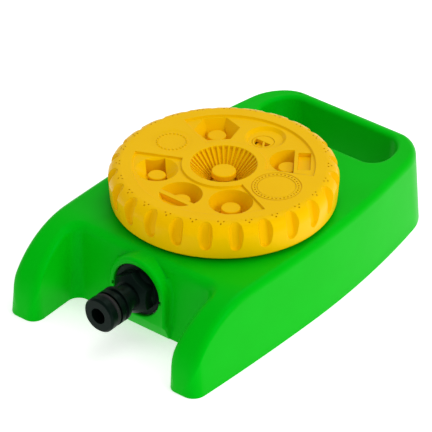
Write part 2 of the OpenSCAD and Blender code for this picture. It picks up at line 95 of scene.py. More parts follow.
def add_box(name, low, high):
    """A box between two corners, with its place in its mesh."""
    clear_selection()
    middle = [(a + b) / 2 for a, b in zip(low, high)]
    bpy.ops.mesh.primitive_cube_add(size=1, location=middle)
    obj = bpy.context.object
    obj.name = name
    obj.scale = [b - a for a, b in zip(low, high)]
    bpy.ops.object.transform_apply(location=True, rotation=True, scale=True)
    return obj


def add_cylinder(name, centre, radius, depth, sides=64, turn=(0, 0, 0), top_radius=None):
    """A cylinder or cone about its centre, with its place in its mesh."""
    clear_selection()
    if top_radius is None:
        top_radius = radius
    bpy.ops.mesh.primitive_cone_add(
        vertices=sides, radius1=radius, radius2=top_radius, depth=depth, location=centre, rotation=turn
    )
    obj = bpy.context.object
    obj.name = name
    bpy.ops.object.transform_apply(location=True, rotation=True, scale=True)
    return obj


print("helpers: clear_selection, only, add_box, add_cylinder")

# %% [markdown]
# Faces, edges and points are picked in code by where they lie or how they are turned, because
# nobody clicks here. A test is written for each pick, and the count of what it found tells whether
# the test was right.

# %% Helpers that pick
def pick(obj, kind, test):
    """Goes into edit mode with only the faces, edges or vertices selected whose test is true."""
    only(obj)
    bpy.ops.object.mode_set(mode="EDIT")
    bpy.ops.mesh.select_mode(type=kind)
    bpy.ops.mesh.select_all(action="DESELECT")
    bpy.ops.object.mode_set(mode="OBJECT")
    mesh = obj.data
    items = {"VERT": mesh.vertices, "EDGE": mesh.edges, "FACE": mesh.polygons}[kind]
    count = 0
    for item in items:
        item.select = bool(test(item))
        count += item.select
    bpy.ops.object.mode_set(mode="EDIT")
    return count


def done():
    bpy.ops.object.mode_set(mode="OBJECT")


def pick_all(obj):
    """Goes into edit mode with the whole mesh selected."""
    only(obj)
    bpy.ops.object.mode_set(mode="EDIT")
    bpy.ops.mesh.select_all(action="SELECT")


def ends(obj, edge):
    return [obj.data.vertices[i].co for i in edge.vertices]


print("helpers: pick, pick_all, ends, done")

# %% [markdown]
# Solids are joined and cut with the Boolean modifier, which is applied at once. Its exact solver is
# slower than the fast one, but it copes with faces that nearly lie on each other.

# %% Helpers for modifiers and booleans
def apply_modifier(obj, kind, **settings):
    only(obj)
    modifier = obj.modifiers.new(kind.lower(), kind)
    for name, value in settings.items():
        setattr(modifier, name, value)
    bpy.ops.object.modifier_apply(modifier=modifier.name)


def combine(obj, other, operation):
    """Joins another solid to this one, or cuts it away, and removes the other."""
    apply_modifier(obj, "BOOLEAN", operation=operation, object=other, solver="EXACT")
    bpy.data.objects.remove(other, do_unlink=True)


def cut(obj, cutter):
    combine(obj, cutter, "DIFFERENCE")


print("helpers: apply_modifier, combine, cut")

# %% [markdown]
# Some edges can only be told by the angle between their two faces. Smooth shading goes by the same
# angle, and weighted normals then keep the large flat faces flat beside small bevels.

# %% Helpers for angles and shading
def edge_angles(obj):
    """The angle at each edge, positive where the edge stands out and negative in a corner."""
    mesh = obj.data
    faces = {}
    for polygon in mesh.polygons:
        for key in polygon.edge_keys:
            faces.setdefault(key, []).append(polygon)
    angles = {}
    for key, pair in faces.items():
        if len(pair) != 2:
            angles[key] = 0.0
            continue
        a, b = pair
        turn = a.normal.angle(b.normal, 0.0)
        hollow = a.normal.dot(b.center - a.center) > 0
        angles[key] = -turn if hollow else turn
    return angles


def sharp(angles, edge, degrees):
    """True for an edge that stands out by more than this angle."""
    return angles[edge.key] > math.radians(degrees)


def smooth(obj, degrees):
    """Smooth shading below an angle, with the large faces deciding the normals."""
    only(obj)
    bpy.ops.object.shade_smooth_by_angle(angle=math.radians(degrees))
    apply_modifier(obj, "WEIGHTED_NORMAL", keep_sharp=True, weight=80)


def report(obj):
    print(obj.name, len(obj.data.polygons), "faces", [round(v / MM, 1) for v in obj.dimensions], "mm")


print("helpers: edge_angles, sharp, smooth, report")

# %% [markdown]
# ## The base
# The base is one green moulding: a skin 2.4 mm thick, open underneath. Its deck and its two legs
# are one flowing top with a rounded edge all round. A sculpted mesh would wander, and a plain
# boolean leaves sharp edges. So the base is made as an upright block with its outline, its bay
# and its slot, while every face is still flat. Then the edge round the top is bevelled, and only
# after that the sides are bowed and the legs are brought down. The hollow underneath is a second
# block, made by the same steps with its walls drawn in, which is cut away at the end.

# %% Sizes of the base
wall = 2.4 * MM
side_lean = 2.0 * MM
back_lean = 2.5 * MM
bay_lean = 3.0 * MM
edge_r = 3.7 * MM
lip_r = 2.4 * MM
back_corner_r = 19 * MM
tip_corner_r = 6 * MM
bay_corner_r = 6 * MM
leg_length = 29 * MM
leg_width = 18.5 * MM
wall_y = front_y + leg_length
bay_half = half_width - leg_width
crest_y = wall_y + 11 * MM
tip_height = 3.0 * MM
widest_y = axis_y - 9 * MM
side_bow_r = 450 * MM
leg_bow_r = 1300 * MM
outer_segments = 14
inner_segments = 8
print("front wall at", round(wall_y / MM, 1), "mm, bay", round(2 * bay_half / MM, 1), "mm wide")


# %% [markdown]
# The block leans in on its sides and its back, so its top is smaller than its foot. The two back
# corners and the two leg tips are upright edges, and bevels with many segments make them round.

# %% Block with leaning sides and rounded upright edges
def is_upright(obj, edge):
    a, b = ends(obj, edge)
    return abs(a.z - b.z) > deck_z / 2


def leaning_block(name, inset, foot_z, smoothness):
    block = add_box(
        name,
        (-half_width + inset, front_y + inset, foot_z),
        (half_width - inset, back_y - inset, deck_z - inset),
    )
    pick(block, "FACE", lambda f: f.normal.z > 0.9)
    bpy.ops.transform.resize(value=(1 - side_lean / half_width, 1, 1))
    done()
    pick(block, "VERT", lambda v: v.co.z > deck_z / 2 and v.co.y > 0)
    bpy.ops.transform.translate(value=(0, -back_lean, 0))
    done()
    for at_back, radius in ((True, back_corner_r), (False, tip_corner_r)):
        pick(block, "EDGE", lambda e: is_upright(block, e) and (ends(block, e)[0].y > 0) == at_back)
        bpy.ops.mesh.bevel(offset=radius - inset, segments=smoothness, affect="EDGES")
        done()
    return block


base = leaning_block("base_skin", 0, 0, outer_segments)
report(base)

# %% [markdown]
# The bay between the legs and the slot of the hand-hold are cut with two blocks. Their own edges
# are rounded first, and their tops are a little wider than their feet, because a moulding has to
# leave its mould.

# %% Bay and slot
slot_y = back_y - 21.5 * MM
slot_lean = 0.8 * MM
slot_half_w = 12.5 * MM
slot_half_l = half_width - 21 * MM
slot_stretch = half_width / (half_width - (slot_y - widest_y) ** 2 / (2 * side_bow_r))


def cut_bay_and_slot(block, inset, smoothness):
    bay = add_box(
        "bay",
        (-bay_half - inset, front_y - clear, -clear),
        (bay_half + inset, wall_y + inset, deck_z + past),
    )
    pick(bay, "FACE", lambda f: f.normal.z > 0.9)
    bpy.ops.transform.resize(value=(1 + bay_lean / bay_half, 1, 1))
    done()
    pick(bay, "VERT", lambda v: v.co.z > deck_z / 2 and v.co.y > front_y)
    bpy.ops.transform.translate(value=(0, bay_lean, 0))
    done()
    pick(bay, "EDGE", lambda e: is_upright(bay, e) and ends(bay, e)[0].y > front_y)
    bpy.ops.mesh.bevel(offset=bay_corner_r + inset, segments=smoothness, affect="EDGES")
    done()
    cut(block, bay)
    half_l = slot_half_l * slot_stretch + inset
    half_w = slot_half_w + inset
    slot = add_box("slot", (-half_l, slot_y - half_w, -clear), (half_l, slot_y + half_w, deck_z + past))
    pick(slot, "FACE", lambda f: f.normal.z < -0.9)
    bpy.ops.transform.resize(value=(1 - slot_lean / half_l, 1 - slot_lean / half_w, 1))
    done()
    pick(slot, "EDGE", lambda e: is_upright(slot, e))
    bpy.ops.mesh.bevel(offset=half_w - slot_lean - 0.3 * MM, segments=smoothness, affect="EDGES")
    done()
    cut(block, slot)


print("slot", round(2 * slot_half_l / MM, 1), "by", round(2 * slot_half_w / MM, 1), "mm")

# %% [markdown]
# Both are cut from the block. The bay leaves a sharp upright edge at the inner side of each leg tip,
# and this edge is rounded like the outer one.

# %% Cut the bay and the slot
def at_inner_tip(edge):
    foot = ends(base, edge)[0]
    return is_upright(base, edge) and foot.y < front_y + same and abs(foot.x) < bay_half + bay_lean + same


cut_bay_and_slot(base, 0, outer_segments)
pick(base, "EDGE", at_inner_tip)
bpy.ops.mesh.bevel(offset=tip_corner_r, segments=7, affect="EDGES")
done()
report(base)


# %% [markdown]
# The lip of the slot and the edge round the deck are bevelled while the deck is still flat. The
# edges are found by their height and their angle, and the slot's are told from the rest by their
# place.

# %% Round the edges of the deck
def on_deck_rim(obj, angles, edge, in_slot):
    a, b = ends(obj, edge)
    if min(a.z, b.z) < deck_z - same or abs(angles[edge.key]) < math.radians(40):
        return False
    across = max(abs(a.y - slot_y), abs(b.y - slot_y))
    inside = across < slot_half_w + past and max(abs(a.x), abs(b.x)) < half_width - 8 * MM
    return inside == in_slot


for in_slot, radius in ((True, lip_r), (False, edge_r)):
    angles = edge_angles(base)
    count = pick(base, "EDGE", lambda e: on_deck_rim(base, angles, e, in_slot))
    bpy.ops.mesh.bevel(offset=radius, segments=6, affect="EDGES", clamp_overlap=False)
    done()
    print("bevelled", count, "edges")
report(base)


# %% [markdown]
# Bisecting the block at many stations gives it points to bend at. The stations are close together
# on the legs, which curve most. Then each point is carried to its place: across, by the bow of
# the sides, and down, by the leg profile.

# %% Bow the sides and bring the legs down
def side_x(y):
    """Half width of the outline at the ground."""
    bow = side_bow_r if y > widest_y else leg_bow_r
    return half_width - (y - widest_y) ** 2 / (2 * bow)


def leg_top(y, inset):
    """Height of the top: the deck, then a quarter of an ellipse down to the tips."""
    if y >= crest_y:
        return deck_z - inset
    part = min((crest_y - y) / (crest_y - front_y - inset), 1.0)
    return tip_height + (deck_z - inset - tip_height) * math.sqrt(1 - part * part)


def bend(block, inset, leg_stations, deck_stations):
    first = front_y + inset + 0.4 * MM
    stations = list(np.linspace(first, crest_y, leg_stations))
    stations += list(np.linspace(crest_y, back_y - 4 * MM, deck_stations))[1:]
    for y in stations:
        pick_all(block)
        bpy.ops.mesh.bisect(plane_co=(0, y, 0), plane_no=(0, 1, 0))
        done()
    full = deck_z - inset
    for vertex in block.data.vertices:
        x, y, z = vertex.co
        side = 1 if x > 0 else -1
        x = abs(x) * side_x(y) / half_width
        top = leg_top(y, inset)
        z_new = z
        if top < full:
            soft = min(edge_r, 0.6 * top)
            if full - z < edge_r:
                z_new = top - (full - z) * soft / edge_r
            else:
                z_new = z * (top - soft) / (full - edge_r)
        if x > bay_half - bay_corner_r:
            x += (z - z_new) * (bay_lean + side_lean) / deck_z * (x - bay_half) / leg_width
            x -= (z - z_new) * bay_lean / deck_z
        vertex.co = (side * x, y, z_new)
    block.data.update()


print("outline at the tips", round(2 * side_x(front_y) / MM, 1), "mm wide")

# %% [markdown]
# The block is bent with 34 stations on the legs and 26 on the deck. Fewer would show as flats on the
# legs, and more would only add faces that nobody sees.

# %% Bend the block
bend(base, 0, 34, 26)
report(base)

# %% [markdown]
# The hollow goes through the same steps with its walls drawn in by the wall, and it reaches below
# the ground, so that cutting it away opens the foot. Its curves are coarser, since they only show
# from underneath, and its edges stay sharp: the rounded edge outside still leaves 1.7 mm of wall
# over them.

# %% Cut the hollow
hollow = leaning_block("hollow", wall, -clear, inner_segments)
cut_bay_and_slot(hollow, wall, inner_segments)
bend(hollow, wall, 14, 12)
report(hollow)
cut(base, hollow)
report(base)

# %% [markdown]
# The hood round the nose is an arch that stands out of the front wall. A box becomes an arch when
# its two top edges are bevelled by half its width. Its foot runs back to the wall, so that it
# ends in the line of the wall.

# %% Hood round the nose
collar_r = (nose_high.x - nose_low.x) / 2
hole_r = collar_r + 0.5 * MM
hood_r = hole_r + 3.2 * MM
hood_y = front_y + 25.8 * MM
hood = add_box("hood", (-hood_r, hood_y, 0.2 * MM), (hood_r, wall_y + wall + past, axis_z + hood_r))


def at_hood_top(edge):
    a, b = ends(hood, edge)
    return abs(a.y - b.y) > past and a.z > axis_z


pick(hood, "EDGE", at_hood_top)
bpy.ops.mesh.bevel(offset=hood_r - 0.4 * MM, segments=20, affect="EDGES", clamp_overlap=False)
done()
pick_all(hood)
bpy.ops.mesh.bisect(plane_co=(0, 0, axis_z - hole_r - past), plane_no=(0, 0, 1))
done()
pick(hood, "VERT", lambda v: v.co.z < past and v.co.y < hood_y + same)
bpy.ops.transform.translate(value=(0, wall_y - hood_y + same, 0))
done()
pick(hood, "VERT", lambda v: v.co.z > axis_z and v.co.y > wall_y)
bpy.ops.transform.translate(value=(0, 4.5 * MM, 0))
done()
report(hood)

# %% [markdown]
# The arch gets a rounded front edge while it is still by itself, where its edges are easy to
# pick. Then it is joined to the base and bored. Two small notches beside the hole let a moulding
# core out.

# %% Join the hood and bore it
angles = edge_angles(hood)


def at_hood_front(edge):
    a, b = ends(hood, edge)
    return max(a.y, b.y) < wall_y and min(a.z, b.z) > 2 * MM and sharp(angles, edge, 50)


pick(hood, "EDGE", at_hood_front)
bpy.ops.mesh.bevel(offset=1.4 * MM, segments=4, affect="EDGES")
done()
combine(base, hood, "UNION")
cut(base, add_cylinder("bore", (0, wall_y, axis_z), hole_r, 30 * MM, 96, (math.pi / 2, 0, 0)))
notch_half = 0.9 * MM
for side in (-1, 1):
    notch_x = side * (hole_r + 0.4 * MM)
    notch = add_box(
        "notch",
        (notch_x - notch_half, hood_y - past, axis_z - 2.2 * MM),
        (notch_x + notch_half, hood_y + 2 * MM, axis_z - 0.4 * MM),
    )
    cut(base, notch)
report(base)

# %% [markdown]
# A moulding has no sharp inner corners, because its mould is milled. So the corner where the hood
# meets the wall is bevelled too, and so is the mouth of the hole. Points that the boolean left
# very close together are merged first, since a bevel folds over on them. The picked edges are
# told by their place and by their angle, which is negative in a corner.

# %% Soften the corner of the hood and the mouth of the hole
def near_hood(point):
    return (
        hood_y + 1.6 * MM < point.y < wall_y + 4.5 * MM
        and abs(point.x) < hood_r + 0.3 * MM
        and 0.5 * MM < point.z < 32 * MM
    )


def on_mouth(point):
    return abs(math.hypot(point.x, point.z - axis_z) - hole_r) < same and point.y < hood_y + 0.3 * MM


pick_all(base)
bpy.ops.mesh.remove_doubles(threshold=0.08 * MM)
done()
angles = edge_angles(base)
in_corner = -math.radians(20)
count = pick(base, "EDGE", lambda e: all(map(near_hood, ends(base, e))) and angles[e.key] < in_corner)
bpy.ops.mesh.bevel(offset=1.8 * MM, segments=4, affect="EDGES", clamp_overlap=False)
done()
print("rounded", count, "edges of the corner")
count = pick(base, "EDGE", lambda e: all(map(on_mouth, ends(base, e))))
bpy.ops.mesh.bevel(offset=0.7 * MM, segments=3, affect="EDGES", clamp_overlap=False)
done()
print("rounded", count, "edges of the mouth")
smooth(base, 40)
report(base)
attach(base, "base")
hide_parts("base_shell")

# %% [markdown]
# ## The dial
# The dial is a yellow turret, shaped like a small tyre. Its outside could be spun from a half
# profile, but a cylinder with a large bevel round its top gives the same form in two steps, and
# its 192 sides repeat in step with the 24 finger grooves, so that every groove is cut the same
# way.

# %% Sizes of the dial
top_z = dial_high.z
foot_z = dial_low.z
skin = 2.2 * MM
foot_r = dial_r - 0.9 * MM
hollow_r = foot_r - skin - 0.4 * MM
shoulder_r = 6.7 * MM
field_r = dial_r - 10.8 * MM
boss_r = 19.1 * MM
field_depth = 1.0 * MM
field_z = top_z - field_depth
floor_z = field_z - 7.8 * MM
ceiling_z = field_z - skin
cup_foot_z = floor_z - 1.4 * MM
ring_r = (field_r + boss_r) / 2
dial_sides = 192
print("places on a ring of", round(ring_r / MM, 2), "mm, fields at", round(field_z / MM, 2), "mm")

# %% [markdown]
# The patterns sit at eight places, one each 45 degrees, on a ring between the boss and the rim. Four
# helpers work there: one gives a point at a place, one adds an upright cylinder or cone, one turns a
# mesh about a point, and one copies a cutter round an axis, each copy with its own mesh. All copies
# are joined, so that one boolean cuts them all.

# %% Helpers for round work
def at_place(k, out=0.0, along=0.0, z=0.0):
    """A point at place k of eight, moved outwards from the axis and along the turn."""
    a = k * math.pi / 4
    return Vector((
        (ring_r + out) * math.cos(a) - along * math.sin(a),
        axis_y + (ring_r + out) * math.sin(a) + along * math.cos(a),
        z,
    ))


def upright(name, centre, low_z, high_z, low_r, high_r=None, sides=64):
    """An upright cylinder or cone between two heights."""
    middle = (centre[0], centre[1], (low_z + high_z) / 2)
    return add_cylinder(name, middle, low_r, high_z - low_z, sides, top_radius=high_r)


def turn_about(obj, angle, centre, axis="Z"):
    """Turns a mesh about a point by an angle, counted the usual way round."""
    pick_all(obj)
    bpy.ops.transform.rotate(value=-angle, orient_axis=axis, center_override=centre)
    done()


def join(parts, name):
    clear_selection()
    for part in parts:
        part.select_set(True)
    bpy.context.view_layer.objects.active = parts[0]
    if len(parts) > 1:
        bpy.ops.object.join()
    parts[0].name = name
    return parts[0]


def copy_round(obj, count, name, start=0.0, centre=(0, axis_y, 0)):
    """Copies a cutter round an axis, each copy with its own mesh, and joins the copies."""
    parts = []
    for i in range(count):
        part = obj.copy()
        part.data = obj.data.copy()
        bpy.context.scene.collection.objects.link(part)
        turn_about(part, start + i * 2 * math.pi / count, centre)
        parts.append(part)
    bpy.data.objects.remove(obj, do_unlink=True)
    return join(parts, name)


axis = (0, axis_y)
over_z = top_z + 2 * past
print("first place", [round(v / MM, 1) for v in at_place(0)])

# %% [markdown]
# The body is one cone, a little wider at its top than at its foot. A bevel of 6.7 mm with ten
# segments turns its top edge into the shoulder of the tyre, and a small one softens its lower
# edge.

# %% Tyre-like body
dial = upright("dial_skin", axis, foot_z, top_z, foot_r, dial_r + 0.5 * MM, dial_sides)
pick(dial, "EDGE", lambda e: min(v.z for v in ends(dial, e)) > top_z - same)
bpy.ops.mesh.bevel(offset=shoulder_r, segments=10, affect="EDGES", clamp_overlap=False)
done()
pick(dial, "EDGE", lambda e: max(v.z for v in ends(dial, e)) < foot_z + same)
bpy.ops.mesh.bevel(offset=1.5 * MM, segments=4, affect="EDGES", clamp_overlap=False)
done()
report(dial)

# %% [markdown]
# Each finger groove is a shallow dish, pressed into the tyre from the shoulder down. The cutter
# is a box whose floor is narrower than its mouth and whose two ends are bevelled to full rounds.
# It leans in at the top, so that the groove runs out over the shoulder. One groove is modelled
# and copied round, and all copies are cut in one boolean.

# %% Finger grooves
grip_count = 24
grip_low = foot_z + 3.4 * MM
grip_high = top_z + 2.0 * MM
grip_floor = dial_r - 1.9 * MM
grip_mouth = dial_r + 1.5 * MM
grip_half = 3.5 * MM
grip_lean = math.radians(13)
groove = add_box(
    "groove",
    (grip_floor, axis_y - grip_half, grip_low),
    (grip_mouth, axis_y + grip_half, grip_high),
)
pick(groove, "EDGE", lambda e: abs(ends(groove, e)[0].x - ends(groove, e)[1].x) > past)
bpy.ops.mesh.bevel(offset=grip_half - 0.05 * MM, segments=9, affect="EDGES")
bpy.ops.mesh.select_all(action="SELECT")
bpy.ops.mesh.remove_doubles(threshold=0.2 * MM)
done()
pick(groove, "FACE", lambda f: f.normal.x < -0.9)
bpy.ops.transform.resize(value=(1, 0.5, 0.76))
bpy.ops.mesh.bevel(offset=0.7 * MM, segments=4, affect="EDGES")
done()
turn_about(groove, -grip_lean, (grip_floor, axis_y, grip_low + 2 * MM), "Y")
cut(dial, copy_round(groove, grip_count, "grooves"))
report(dial)

# %% [markdown]
# The dial is hollow underneath, and the hollow is narrower at its top, to leave a wall behind the
# grooves. Seven cups stand in the hollow, one under each pocket and one under the fluted cone.
# They don't touch each other, so they are joined first and take one boolean.

# %% Hollow and cups
pocket_places = (1, 2, 3, 5, 6, 7)
plates_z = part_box("port_plate")[1].z
under = upright("under", axis, foot_z - 5 * MM, plates_z + past, hollow_r, sides=dial_sides)
cut(dial, under)
upper = upright("upper", axis, plates_z, ceiling_z, hollow_r - 2.2 * MM, sides=dial_sides)
pick(upper, "EDGE", lambda e: min(v.z for v in ends(upper, e)) > ceiling_z - same)
bpy.ops.mesh.bevel(offset=3.5 * MM, segments=3, affect="EDGES")
done()
cut(dial, upper)
cup_top_z = ceiling_z + 0.5 * MM
cups = [upright("cup", axis, cup_foot_z, cup_top_z, 16.9 * MM, sides=96)]
for k in pocket_places:
    cups.append(upright("cup", at_place(k), cup_foot_z, cup_top_z, 11.2 * MM))
combine(dial, join(cups, "cups"), "UNION")
report(dial)

# %% [markdown]
# The two pattern fields lie 1 mm below the rim. The cutter is a low disc with the boss taken out
# of its middle, and with two wedges taken out of it where the top stays level round the discs.
# Its walls lean a little, which softens the steps. A wedge is a box whose inner end is drawn
# together at the axis.

# %% Pattern fields
level_half = math.radians(25)
field_lean = 0.5 * MM
boss_lean = 0.9 * MM
field_foot_r = field_r - field_lean
field_mouth_r = field_r + field_lean
fields = upright("fields", axis, field_z, top_z + past, field_foot_r, field_mouth_r, dial_sides)
boss = upright("boss", axis, field_z - past, over_z, boss_r + boss_lean, boss_r - boss_lean, 144)
cut(fields, boss)
wedge_half = dial_r * math.tan(level_half)
for turn in (0, math.pi):
    wedge_low = (0, axis_y - wedge_half, field_z - past)
    wedge = add_box("wedge", wedge_low, (dial_r, axis_y + wedge_half, over_z))
    pick(wedge, "FACE", lambda f: f.normal.x < -0.9)
    bpy.ops.transform.resize(value=(1, 0.01, 1))
    done()
    pick(wedge, "FACE", lambda f: f.normal.z > 0.9)
    bpy.ops.transform.resize(value=(1, 1 - 2 * field_lean / wedge_half, 1))
    done()
    turn_about(wedge, turn, (0, axis_y, 0))
    cut(fields, wedge)
cut(dial, fields)
report(dial)


# %% [markdown]
# Each pocket shapes the water in its own way, so each has its own cutter: a full cone for a full
# circle of spray, cones with a bar across for half circles, a slot for a flat sheet, a flared
# channel for a fan, and a dish for a mist. The cones are the same form at several sizes, so one
# function makes them.

# %% Cutters for the pockets
def cone_cutter(k, mouth_r, floor_r, depth, out=0.0):
    centre = at_place(k, out)
    slope = (mouth_r - floor_r) / depth
    return upright(
        "cone", centre, field_z - depth, field_z + field_depth + past,
        floor_r, mouth_r + slope * (field_depth + past), 72,
    )


def shaft_cutter(k, radius, out=0.0):
    return upright("shaft", at_place(k, out), cup_foot_z - past, floor_z + past, radius, sides=48)


def block_cutter(k, out, along, low_z, high_z, flare=(0.0, 0.0), turn=0.0):
    """A block at a place, from out[0] to out[1] and along[0] to along[1], flared at its top."""
    block = add_box("block", (ring_r + out[0], along[0], low_z), (ring_r + out[1], along[1], high_z))
    if any(flare):
        pick(block, "FACE", lambda f: f.normal.z > 0.9)
        size_x = out[1] - out[0]
        size_y = along[1] - along[0]
        bpy.ops.transform.resize(value=(1 + 2 * flare[0] / size_x, 1 + 2 * flare[1] / size_y, 1))
        done()
    if turn:
        turn_about(block, turn, (ring_r, 0, 0))
    turn_about(block, k * math.pi / 4, (0, 0, 0))
    only(block)
    block.location = (0, axis_y, 0)
    bpy.ops.object.transform_apply(location=True, rotation=True, scale=True)
    return block


deep = field_z - floor_z
cone_mouth = 10.0 * MM
cone_floor = 7.0 * MM
shaft_r = cone_floor - 0.3 * MM
wide = (-15 * MM, 15 * MM)
far = 30 * MM
print("pockets", round(deep / MM, 1), "mm deep")

# %% [markdown]
# The full circle is a plain cone with a shaft for its post. For the half circle, a block is taken
# out of the cone cutter, so a straight bar stays across the pocket. A shallow cone beyond the bar
# leads the water out.

# %% Full circle and half circle
cut(dial, cone_cutter(7, cone_mouth, cone_floor, deep))
cut(dial, shaft_cutter(7, shaft_r))

half_mouth = cone_mouth - 0.2 * MM
bar_from = 2.4 * MM
bar_to = 4.9 * MM
half_cone = cone_cutter(6, half_mouth, cone_floor, deep)
cut(half_cone, block_cutter(6, (bar_from, far), wide, cup_foot_z, over_z))
cut(dial, half_cone)
wedge = cone_cutter(6, half_mouth, 8.2 * MM, 2.6 * MM)
cut(wedge, block_cutter(6, (-far, bar_to), wide, cup_foot_z, over_z))
cut(dial, wedge)
half_shaft = shaft_cutter(6, shaft_r)
cut(half_shaft, block_cutter(6, (bar_from, far), wide, cup_foot_z - 5 * MM, over_z))
cut(dial, half_shaft)
report(dial)

# %% [markdown]
# The quarter circle has its bar set askew, with a shallow flat recess behind it.

# %% Quarter circle
askew = math.radians(-9)
quarter = cone_cutter(1, 9.6 * MM, 6.4 * MM, deep)
cut(quarter, block_cutter(1, (1.6 * MM, far), wide, cup_foot_z, over_z, turn=askew))
cut(dial, quarter)
recess_z = field_z - 1.9 * MM
recess_out = (3.5 * MM, 9.0 * MM)
recess_along = (-6.6 * MM, 7.0 * MM)
cut(dial, block_cutter(1, recess_out, recess_along, recess_z, over_z, (0.4 * MM, 0.8 * MM), askew))
quarter_shaft = block_cutter(
    1, (-5.4 * MM, 1.4 * MM), (-4.6 * MM, 4.6 * MM), cup_foot_z - past, floor_z + past, turn=askew
)
cut(dial, quarter_shaft)
report(dial)

# %% [markdown]
# The flat sheet comes from a dish with a deep slot through it. The fan is a square shaft whose
# outer wall is a ramp, and a six-sided funnel opens its mouth. Two cutters never share a plane,
# since a boolean can fail there.

# %% Slot in a dish, and flared fan
cut(dial, cone_cutter(5, 9.8 * MM, 4.8 * MM, 4.2 * MM))
slot_out = (-4.4 * MM, 4.4 * MM)
slot_along = (-8.4 * MM, 8.4 * MM)
cut(dial, block_cutter(5, slot_out, slot_along, floor_z, over_z, (0.1 * MM, 0.5 * MM)))
cut(dial, shaft_cutter(5, 4.7 * MM))

fan_centre = at_place(3, 0.8 * MM)
cut(dial, block_cutter(3, (-5.2 * MM, 4.9 * MM), (-4.9 * MM, 4.9 * MM), floor_z, over_z))
ramp_z = field_z + 0.01 * MM
ramp_out = (-4.0 * MM, 4.9 * MM)
ramp_along = (-4.6 * MM, 4.6 * MM)
cut(dial, block_cutter(3, ramp_out, ramp_along, floor_z, ramp_z, (4.4 * MM, -0.2 * MM)))
funnel = upright("funnel", fan_centre, floor_z, field_z + 0.02 * MM, 5.0 * MM, 10.8 * MM, sides=6)
turn_about(funnel, 3 * math.pi / 4, fan_centre)
cut(dial, funnel)
cut(dial, shaft_cutter(3, 4.9 * MM))
report(dial)

# %% [markdown]
# The mist comes from a shallow dish with a well towards the axis. The swirl insert goes into the
# well later.

# %% Dish for the mist
mist_out = -1.9 * MM
mist_r = 5.2 * MM
cut(dial, cone_cutter(2, 9.4 * MM, 7.9 * MM, 1.5 * MM))
cut(dial, upright("well", at_place(2, mist_out), floor_z, over_z, mist_r, sides=64))
cut(dial, shaft_cutter(2, 4.0 * MM, mist_out))
report(dial)

# %% [markdown]
# The middle of the dial is a fluted cone round the button. One flute is a thin wedge, wider
# outside than inside, laid parallel to the slope of the cone. 36 copies are cut in one boolean.

# %% Fluted cone
cone_top_r = 15.4 * MM
cone_foot_r = 6.7 * MM
flute_count = 36
flute_depth = 1.1 * MM
slope = math.atan2(top_z - floor_z, cone_top_r - cone_foot_r)
rise = (cone_top_r - cone_foot_r) / (top_z - floor_z) * past
cut(dial, upright("cone", axis, floor_z, top_z + past, cone_foot_r, cone_top_r + rise, 144))
cut(dial, upright("shaft", axis, cup_foot_z - past, floor_z + past, cone_foot_r - 0.4 * MM, sides=72))
flute_half = 0.75 * MM
flute = add_box(
    "flute",
    (cone_foot_r - 0.6 * MM, axis_y - flute_half, floor_z - flute_depth * math.sqrt(2)),
    (cone_top_r - 0.2 * MM, axis_y + flute_half, floor_z + 4 * MM),
)
pick(flute, "VERT", lambda v: v.co.x > cone_foot_r + past)
bpy.ops.transform.translate(value=(0, 0, (cone_top_r - cone_foot_r) * math.tan(slope)))
done()
pick(flute, "FACE", lambda f: f.normal.x < -0.9)
bpy.ops.transform.resize(value=(1, 0.42, 1))
done()
cut(dial, copy_round(flute, flute_count, "flutes", math.pi / flute_count))
report(dial)

# %% [markdown]
# Small things last: the seat of the shower disc with its ring of holes, the ring of raised dots
# opposite, and the groups of three fine holes between the grooves. Tiny cutters have few sides,
# since nobody can count them.

# %% Seat of the shower disc, with its ring and holes
disc_r = 8.8 * MM
disc_centre = at_place(0)
cut(dial, upright("seat", disc_centre, top_z - 1.6 * MM, top_z + past, disc_r, sides=96))
ring = upright("ring", disc_centre, top_z - 0.35 * MM, top_z + past, 11.35 * MM, sides=96)
cut(ring, upright("ring_core", disc_centre, top_z - 2 * past, over_z, 11.0 * MM, sides=96))
cut(dial, ring)
hole = upright("hole", at_place(0, 9.9 * MM), top_z - 1.0 * MM, top_z + past, 0.42 * MM, sides=10)
cut(dial, copy_round(hole, 34, "shower_holes", 0.0, disc_centre))
report(dial)

# %% [markdown]
# Between two grooves there is a group of three fine holes, two on the edge of the top and one
# further out on the shoulder. The raised dots stand in a shallow dish, so that they stay below
# the top of the dial.

# %% Fine holes and dots
fine = []
for out, along in ((47.2 * MM, -1.3 * MM), (47.2 * MM, 1.3 * MM), (48.6 * MM, 0.0)):
    fine.append(upright("fine", (out, axis_y + along), top_z - 2.4 * MM, top_z + past, 0.4 * MM, sides=10))
cut(dial, copy_round(join(fine, "fine"), grip_count, "fine_holes", math.pi / grip_count))

dot_r = 0.55 * MM
dot_height = 0.4 * MM
dot_ring_r = 6.8 * MM
dish_z = top_z - dot_height
dots_centre = at_place(4)
dish_foot_r = dot_ring_r + 2.0 * MM
dish_mouth_r = dot_ring_r + 4.5 * MM
cut(dial, upright("sunk", dots_centre, dish_z, top_z + past, dish_foot_r, dish_mouth_r, 96))
dot = upright("dot", at_place(4, dot_ring_r), dish_z - 0.5 * MM, top_z - dot_height / 2, dot_r, sides=12)
pick(dot, "FACE", lambda f: f.normal.z > 0.9)
bpy.ops.mesh.extrude_region_move(TRANSFORM_OT_translate={"value": (0, 0, dot_height / 2)})
bpy.ops.transform.resize(value=(0.6, 0.6, 1))
done()
combine(dial, copy_round(dot, 24, "dots", 0.0, dots_centre), "UNION")
report(dial)

# %% [markdown]
# The dial is finished, so its faces are shaded smooth below 32 degrees. It rides on the turning
# body and stands in for the cover and for the disc with the dots.

# %% Smooth the dial and let it ride
smooth(dial, 32)
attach(dial, "dial")
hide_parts("dial_cover", "rain_disc")
report(dial)

